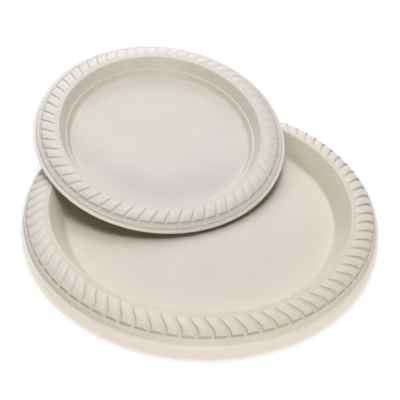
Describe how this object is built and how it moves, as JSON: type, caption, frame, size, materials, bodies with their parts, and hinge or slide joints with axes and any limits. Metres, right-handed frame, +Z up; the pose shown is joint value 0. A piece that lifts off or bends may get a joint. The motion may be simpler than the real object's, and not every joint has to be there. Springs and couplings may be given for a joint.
{
  "type": "stack of disposable plates",
  "caption": "Round moulded-sheet disposable plates, a smaller one resting askew in a larger one, each with a flat foot, sloping wall and a flange ringed with raised S-shaped lobes.",
  "frame": {"origin": "centre of the large plate's flat foot, on the surface that the plates stand on", "axes": "+Z up, -Y towards the viewer of the stack, +X to the right; the small plate has slid back and a little left"},
  "size_m": [0.2315, 0.2605, 0.0453],
  "materials": {
    "warm_starch_plastic": "satin moulded corn starch sheet, warm off-white",
    "pale_starch_plastic": "satin moulded corn starch sheet, paler off-white"
  },
  "bodies": {
    "root": {"large_plate": "warm_starch_plastic", "small_plate": "pale_starch_plastic"}
  },
  "joints": []
}
